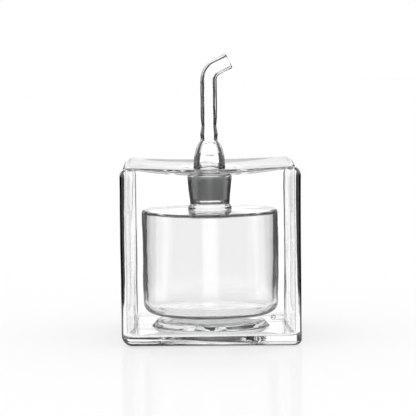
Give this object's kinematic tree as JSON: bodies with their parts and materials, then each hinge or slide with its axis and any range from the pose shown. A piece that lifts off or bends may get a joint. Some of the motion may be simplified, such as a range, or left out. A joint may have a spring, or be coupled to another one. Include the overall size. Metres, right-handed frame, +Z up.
{
  "type": "oil cruet",
  "caption": "Square double-walled glass oil cruet: a round vessel fused inside a blown cube shell at the neck, with a hollow ground-glass stopper and a bent pouring spout.",
  "frame": {"origin": "middle of the square base, on the surface it stands on", "axes": "+Z up along the neck, +X the way the spout points, +Y across, to the left seen from behind the spout"},
  "size_m": [0.1, 0.1, 0.1607],
  "materials": {
    "clear_glass": "gloss",
    "stopper_glass": "gloss, with a finely ground cone"
  },
  "bodies": {
    "root": {"cruet_body": "clear_glass", "pouring_stopper": "stopper_glass"}
  },
  "joints": []
}
